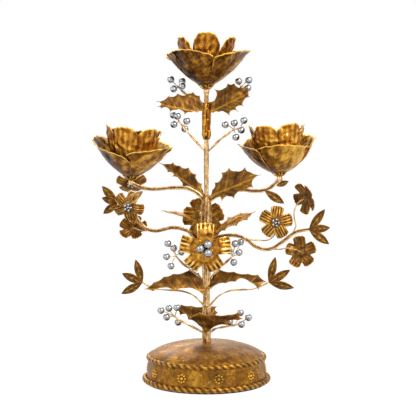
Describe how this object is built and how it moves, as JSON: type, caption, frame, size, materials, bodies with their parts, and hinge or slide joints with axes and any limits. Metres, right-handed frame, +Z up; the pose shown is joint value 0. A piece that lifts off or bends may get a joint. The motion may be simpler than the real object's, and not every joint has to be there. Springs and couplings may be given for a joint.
{
  "type": "candelabra",
  "caption": "Branched candelabra with flower cups for taper candles on a leafy wire stem and a round domed base.",
  "frame": {"origin": "middle of the felt's underside, where the base rests", "axes": "+Z up along the stem, +X to the right cup, -Y to the front"},
  "size_m": [0.2836, 0.1562, 0.423],
  "materials": {
    "gilt_cup": "antique gilt, satin, worn bright at the rims",
    "gilt_leaf": "antique gilt, matt brown gold with raised veins",
    "gilt_flower": "antique gilt, satin with bright fluting",
    "gilt_wire": "pale champagne gilt, satin",
    "gilt_base": "antique gilt, satin with dark patina spots",
    "silver_bead": "silvered bead, polished grey",
    "iron_weight": "rough cast iron",
    "steel_fastener": "plain zinc plated steel",
    "felt": "dark brown felt"
  },
  "bodies": {
    "root": {"arm_left": "gilt_wire", "arm_right": "gilt_wire", "back_flower": "gilt_flower", "base_felt": "felt", "base_nut": "steel_fastener", "base_rope_lower": "gilt_base", "base_rope_upper": "gilt_base", "base_rosettes": "gilt_base", "base_shell": "gilt_base", "base_washer": "steel_fastener", "base_weight": "iron_weight", "berries_lower": "silver_bead", "berries_upper": "silver_bead", "branch_left": "gilt_wire", "branch_right": "gilt_wire", "centre_flower": "gilt_flower", "cup_left_inner_petals": "gilt_cup", "cup_left_outer_petals": "gilt_cup", "cup_left_socket": "gilt_cup", "cup_right_inner_petals": "gilt_cup", "cup_right_outer_petals": "gilt_cup", "cup_right_socket": "gilt_cup", "cup_screws": "steel_fastener", "cup_top_inner_petals": "gilt_cup", "cup_top_outer_petals": "gilt_cup", "cup_top_socket": "gilt_cup", "flower_beads": "silver_bead", "flower_left_1": "gilt_flower", "flower_left_2": "gilt_flower", "flower_left_3": "gilt_flower", "flower_right_1": "gilt_flower", "flower_right_2": "gilt_flower", "flower_right_3": "gilt_flower", "holly_back_left": "gilt_leaf", "holly_back_right": "gilt_leaf", "holly_bottom_front": "gilt_leaf", "holly_bottom_left": "gilt_leaf", "holly_bottom_right": "gilt_leaf", "holly_lower_left": "gilt_leaf", "holly_lower_right": "gilt_leaf", "holly_middle_left": "gilt_leaf", "holly_middle_right": "gilt_leaf", "holly_upper_left": "gilt_leaf", "holly_upper_right": "gilt_leaf", "leaflets_arm_right": "gilt_leaf", "leaflets_branch_left": "gilt_leaf", "leaflets_branch_right": "gilt_leaf", "leaflets_twigs": "gilt_leaf", "pearls": "silver_bead", "stalks_bottom": "gilt_wire", "stalks_middle": "gilt_wire", "stalks_top": "gilt_wire", "stalks_upper": "gilt_wire", "stem_foot_sleeve": "gilt_wire", "stem_lower_bundle": "gilt_wire", "stem_middle_bundle": "gilt_wire", "stem_rod": "gilt_wire", "stem_upper_sleeve": "gilt_wire", "twig_left": "gilt_wire", "twig_right": "gilt_wire"}
  },
  "joints": []
}
